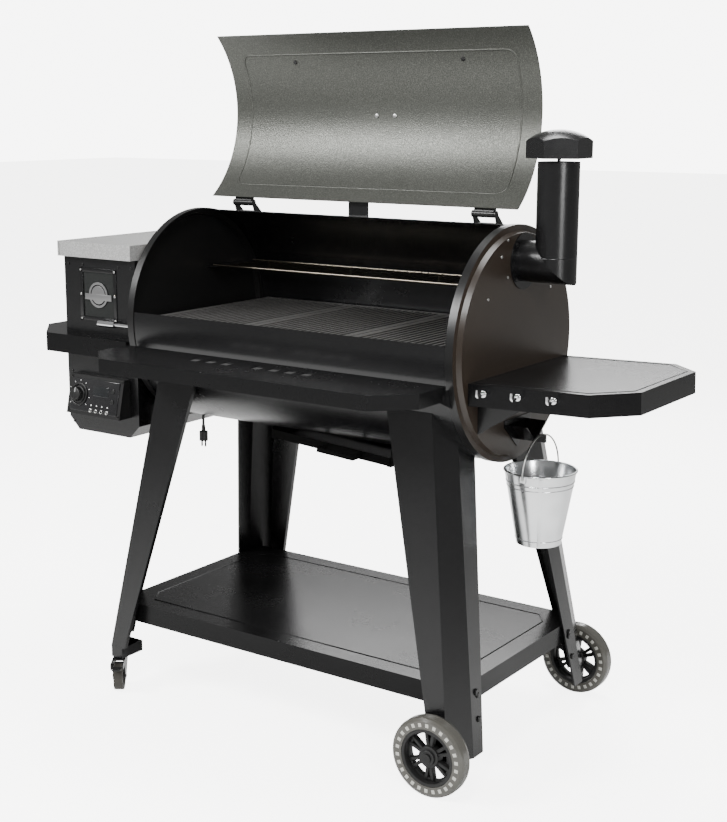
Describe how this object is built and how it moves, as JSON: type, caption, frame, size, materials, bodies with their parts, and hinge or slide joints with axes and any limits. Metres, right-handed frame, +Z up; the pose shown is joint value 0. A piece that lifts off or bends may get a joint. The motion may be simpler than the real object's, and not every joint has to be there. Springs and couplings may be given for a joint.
{
  "type": "pellet smoker grill",
  "caption": "Barrel cooker on a wheeled frame, with a lifting lid, pellet hopper, chimney, folding front shelf, side shelves, drip bucket and ash drawer.",
  "frame": {"origin": "on the floor under the middle of the whole grill's box", "axes": "+Z up, +X along the barrel towards the chimney and the side shelf, -Y the cook's side where the lid opens"},
  "size_m": [1.7826, 0.869, 1.7171],
  "materials": {
    "black_powder_coat": "semi-gloss fine-texture powder coat",
    "brown_black_paint": "semi-gloss high-heat paint",
    "gloss_black_paint": "gloss",
    "hammered_paint": "hammered metallic paint",
    "chrome_plate": "polished",
    "zinc_steel": "zinc plated",
    "galvanised_steel": "bright galvanised",
    "bare_steel": "bare rolled sheet",
    "cast_iron_black": "black enamelled",
    "black_plastic": "moulded",
    "smoky_tyre": "smoky translucent",
    "grey_rubber": "matt",
    "cord_rubber": "satin",
    "clear_glass": "clear"
  },
  "bodies": {
    "frame": {"auger_motor": "black_plastic", "auger_tube": "zinc_steel", "barrel_hinge_brackets": "black_powder_coat", "barrel_shell": "black_powder_coat", "bottom_shelf": "black_powder_coat", "broiler_plate": "bare_steel", "burn_pot": "bare_steel", "caster_cups": "black_powder_coat", "chimney_pipe": "black_powder_coat", "control_housing": "black_powder_coat", "cord_coil": "cord_rubber", "drawer_runners": "black_powder_coat", "frame_bolts": "zinc_steel", "front_left_leg": "black_powder_coat", "front_right_leg": "black_powder_coat", "front_shelf_brackets": "black_powder_coat", "grease_chute": "black_powder_coat", "hopper_body": "black_powder_coat", "hopper_shelf": "black_powder_coat", "igniter": "zinc_steel", "left_end_cap": "brown_black_paint", "plug": "black_plastic", "power_cord": "cord_rubber", "rear_left_leg": "black_powder_coat", "rear_right_leg": "black_powder_coat", "right_end_cap": "brown_black_paint", "side_shelf": "gloss_black_paint", "side_shelf_brackets": "black_powder_coat", "strain_relief": "black_plastic", "tool_hooks": "chrome_plate", "wheel_axles": "zinc_steel", "window_glass": "clear_glass"},
    "lid": {"lid": "hammered_paint", "lid_handle": "zinc_steel", "lid_hinge_straps": "black_powder_coat"},
    "hopper_lid": {"hopper_lid": "hammered_paint"},
    "front_shelf": {"front_shelf": "black_powder_coat"},
    "chimney_cap": {"chimney_cap": "black_powder_coat"},
    "front_caster_fork": {"front_caster_fork": "zinc_steel"},
    "front_caster_wheel": {"front_caster_wheel": "grey_rubber"},
    "front_caster_brake": {"front_caster_brake": "black_plastic"},
    "rear_caster_fork": {"rear_caster_fork": "zinc_steel"},
    "rear_caster_wheel": {"rear_caster_wheel": "grey_rubber"},
    "rear_caster_brake": {"rear_caster_brake": "black_plastic"},
    "front_wheel": {"front_wheel": "black_plastic", "front_tyre": "smoky_tyre"},
    "rear_wheel": {"rear_wheel": "black_plastic", "rear_tyre": "smoky_tyre"},
    "control_knob": {"control_knob": "black_plastic"},
    "broiler_slide": {"broiler_slide": "bare_steel", "broiler_lever": "chrome_plate"},
    "ash_drawer": {"ash_drawer": "black_powder_coat"},
    "bail": {"bail": "zinc_steel"},
    "bucket": {"bucket": "galvanised_steel"},
    "main_grate_1": {"main_grate_1": "cast_iron_black"},
    "main_grate_2": {"main_grate_2": "cast_iron_black"},
    "main_grate_3": {"main_grate_3": "cast_iron_black"},
    "upper_rack": {"upper_rack": "chrome_plate"},
    "auger": {"auger": "zinc_steel"},
    "fan_wheel": {"fan_wheel": "zinc_steel"}
  },
  "joints": [
    {"name": "lid_hinge", "type": "hinge", "parent": "frame", "child": "lid", "pos_m": [0.01372, 0.1005, 1.2835], "axis": [1, 0, 0], "range_deg": [0, 131.5]},
    {"name": "hopper_lid_hinge", "type": "hinge", "parent": "frame", "child": "hopper_lid", "pos_m": [-0.61557, 0.26, 1.14], "axis": [-1, 0, 0], "range_deg": [0, 95]},
    {"name": "front_shelf_fold", "type": "hinge", "parent": "frame", "child": "front_shelf", "pos_m": [0.01372, -0.2565, 0.908], "axis": [1, 0, 0], "range_deg": [0, 90]},
    {"name": "chimney_cap_height", "type": "slide", "parent": "frame", "child": "chimney_cap", "axis": [0, 0, 1], "range_m": [0, 0.025]},
    {"name": "front_caster_swivel", "type": "hinge", "parent": "frame", "child": "front_caster_fork", "pos_m": [-0.50628, -0.2665, 0.087], "axis": [0, 0, 1], "continuous": true},
    {"name": "front_caster_roll", "type": "hinge", "parent": "front_caster_fork", "child": "front_caster_wheel", "pos_m": [-0.48982, -0.28915, 0.037], "axis": [0.809, 0.5878, 0], "continuous": true},
    {"name": "front_caster_brake_pedal", "type": "hinge", "parent": "front_caster_fork", "child": "front_caster_brake", "pos_m": [-0.46454, -0.32394, 0.076], "axis": [0.809, 0.5878, 0], "range_deg": [0, 10]},
    {"name": "rear_caster_swivel", "type": "hinge", "parent": "frame", "child": "rear_caster_fork", "pos_m": [-0.50628, 0.3575, 0.087], "axis": [0, 0, 1], "continuous": true},
    {"name": "rear_caster_roll", "type": "hinge", "parent": "rear_caster_fork", "child": "rear_caster_wheel", "pos_m": [-0.53052, 0.3435, 0.037], "axis": [0.5, -0.866, 0], "continuous": true},
    {"name": "rear_caster_brake_pedal", "type": "hinge", "parent": "rear_caster_fork", "child": "rear_caster_brake", "pos_m": [-0.56776, 0.322, 0.076], "axis": [0.5, -0.866, 0], "range_deg": [0, 10]},
    {"name": "front_wheel_spin", "type": "hinge", "parent": "frame", "child": "front_wheel", "pos_m": [0.51372, -0.3215, 0.095], "axis": [0, 1, 0], "continuous": true},
    {"name": "rear_wheel_spin", "type": "hinge", "parent": "frame", "child": "rear_wheel", "pos_m": [0.51372, 0.4125, 0.095], "axis": [0, 1, 0], "continuous": true},
    {"name": "control_knob_turn", "type": "hinge", "parent": "frame", "child": "control_knob", "pos_m": [-0.67127, -0.2215, 0.776], "axis": [0, -0.9744, 0.2249], "range_deg": [0, 270]},
    {"name": "broiler_slide_pull", "type": "slide", "parent": "frame", "child": "broiler_slide", "axis": [-1, 0, 0], "range_m": [0, 0.03]},
    {"name": "ash_drawer_pull", "type": "slide", "parent": "frame", "child": "ash_drawer", "axis": [0, -1, 0], "range_m": [0, 0.12]},
    {"name": "bail_lift", "type": "slide", "parent": "frame", "child": "bail", "axis": [0, 0, 1], "range_m": [0, 0.004]},
    {"name": "bucket_swing", "type": "hinge", "parent": "bail", "child": "bucket", "pos_m": [0.57973, 0.0455, 0.689], "axis": [0, 1, 0], "range_deg": [-4, 2]},
    {"name": "main_grate_1_lift", "type": "slide", "parent": "frame", "child": "main_grate_1", "axis": [0, 0, 1], "range_m": [0, 0.05]},
    {"name": "main_grate_2_lift", "type": "slide", "parent": "frame", "child": "main_grate_2", "axis": [0, 0, 1], "range_m": [0, 0.05]},
    {"name": "main_grate_3_lift", "type": "slide", "parent": "frame", "child": "main_grate_3", "axis": [0, 0, 1], "range_m": [0, 0.05]},
    {"name": "upper_rack_lift", "type": "slide", "parent": "frame", "child": "upper_rack", "axis": [0, 0, 1], "range_m": [0, 0.02]},
    {"name": "auger_turn", "type": "hinge", "parent": "frame", "child": "auger", "pos_m": [-0.38627, 0.0455, 0.812], "axis": [1, 0, 0], "continuous": true},
    {"name": "fan_turn", "type": "hinge", "parent": "frame", "child": "fan_wheel", "pos_m": [-0.58627, 0.1655, 0.745], "axis": [0, 1, 0], "continuous": true}
  ]
}
